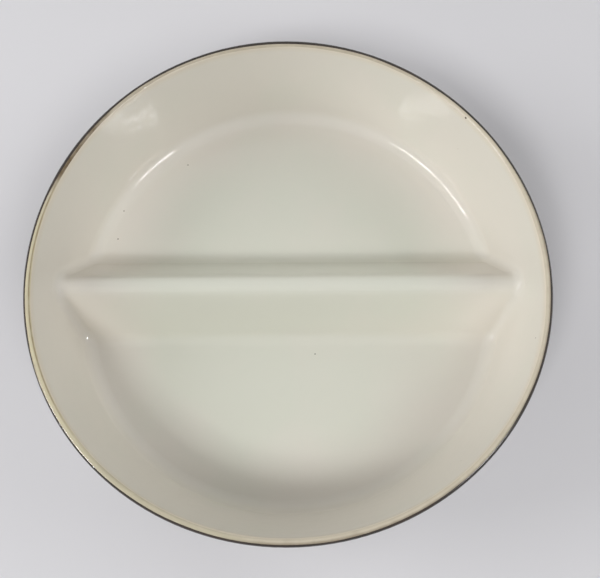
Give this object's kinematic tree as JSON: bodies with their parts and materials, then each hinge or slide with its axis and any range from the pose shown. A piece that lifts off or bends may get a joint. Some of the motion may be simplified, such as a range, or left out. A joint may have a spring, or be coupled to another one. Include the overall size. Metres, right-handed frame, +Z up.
{
  "type": "divided oven bowl",
  "caption": "Round stoneware baking bowl with a flared wall, a low cross wall that parts it into two compartments, and a foot ring.",
  "frame": {"origin": "centre of the foot ring's flat resting face", "axes": "+Z up through the bowl's mouth; +X along the divider; -Y to the front compartment, as pictured"},
  "size_m": [0.28, 0.28, 0.07],
  "materials": {
    "stoneware_clay": "bare fired stoneware, matte and fine-grained",
    "cream_glaze": "glossy cream glaze, fired on, slightly uneven",
    "thin_tan_glaze": "glaze broken thin over the clay, satin gloss",
    "dark_brown_glaze": "glossy dark brown glaze, fired on"
  },
  "bodies": {
    "root": {"bowl_shell": "stoneware_clay", "divider_wall": "stoneware_clay", "foot_ring": "stoneware_clay", "liner_glaze": "cream_glaze", "rim_band": "thin_tan_glaze", "outer_glaze": "dark_brown_glaze", "base_glaze": "dark_brown_glaze"}
  },
  "joints": []
}
